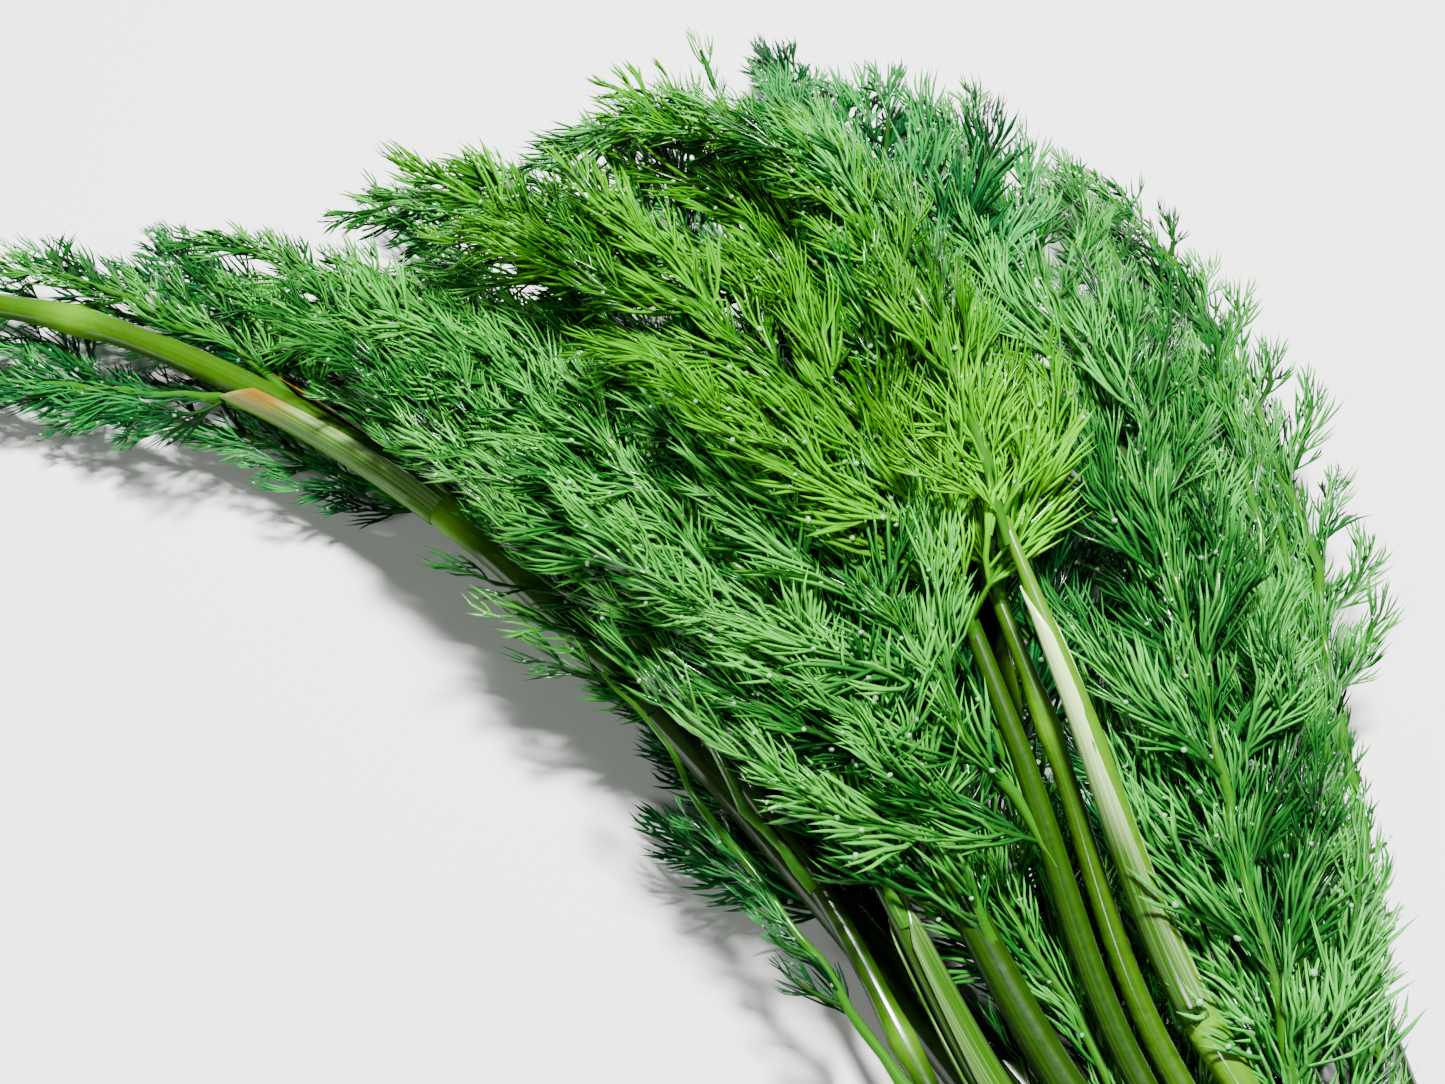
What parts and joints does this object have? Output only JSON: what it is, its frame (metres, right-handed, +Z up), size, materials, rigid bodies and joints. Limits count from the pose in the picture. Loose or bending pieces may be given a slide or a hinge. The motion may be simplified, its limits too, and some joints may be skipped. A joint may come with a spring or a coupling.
{
  "type": "dill bunch",
  "caption": "Loose bunch of fresh dill lying on its side, with slim ridged stems that fan out into feathery fronds cut into fine threads.",
  "frame": {"origin": "on the surface that the bunch lies on, under the middle of its bounding box", "axes": "+Z up from the surface, +Y along the bunch from the cut ends of the stems to the tips of the fronds, +X to the right when looking from the cut ends to the tips"},
  "size_m": [0.2051, 0.3089, 0.0629],
  "materials": {
    "stem": "wet green stem skin with fine ridges, paler at the cut end",
    "sheath": "pale translucent leaf sheath with green ribs",
    "frond_young": "bright yellow-green young leaf, wet",
    "frond_green": "mid green leaf, wet",
    "frond_deep": "deep bluish green leaf, wet"
  },
  "bodies": {
    "root": {"frond_broad_1": "frond_green", "frond_broad_2": "frond_green", "frond_left_1": "frond_green", "frond_left_2": "frond_green", "frond_left_3": "frond_deep", "frond_left_4": "frond_deep", "frond_left_5": "frond_green", "frond_low_1": "frond_deep", "frond_low_2": "frond_deep", "frond_low_3": "frond_deep", "frond_low_4": "frond_deep", "frond_middle_1": "frond_deep", "frond_middle_2": "frond_deep", "frond_middle_3": "frond_green", "frond_middle_4": "frond_deep", "frond_outer_1": "frond_green", "frond_outer_2": "frond_green", "frond_outer_3": "frond_green", "frond_pale_1": "frond_green", "frond_pale_2": "frond_young", "frond_parallel_1": "frond_young", "frond_right_1": "frond_deep", "frond_right_2": "frond_deep", "frond_right_3": "frond_green", "frond_shiny_1": "frond_green", "frond_shiny_2": "frond_green", "frond_shiny_3": "frond_green", "frond_shiny_4": "frond_green", "frond_shiny_5": "frond_green", "frond_slim_1": "frond_green", "frond_slim_2": "frond_deep", "frond_smooth_1": "frond_green", "frond_smooth_2": "frond_young", "frond_smooth_3": "frond_green", "frond_smooth_4": "frond_green", "frond_under_1": "frond_deep", "frond_under_2": "frond_deep", "frond_under_3": "frond_deep", "frond_under_4": "frond_deep", "sheath_broad": "sheath", "sheath_left": "sheath", "sheath_pale": "sheath", "stem_broad": "stem", "stem_left": "stem", "stem_low": "stem", "stem_middle": "stem", "stem_outer": "stem", "stem_pale": "stem", "stem_parallel": "stem", "stem_right": "stem", "stem_shiny": "stem", "stem_slim": "stem", "stem_smooth": "stem", "stem_under": "stem"}
  },
  "joints": []
}
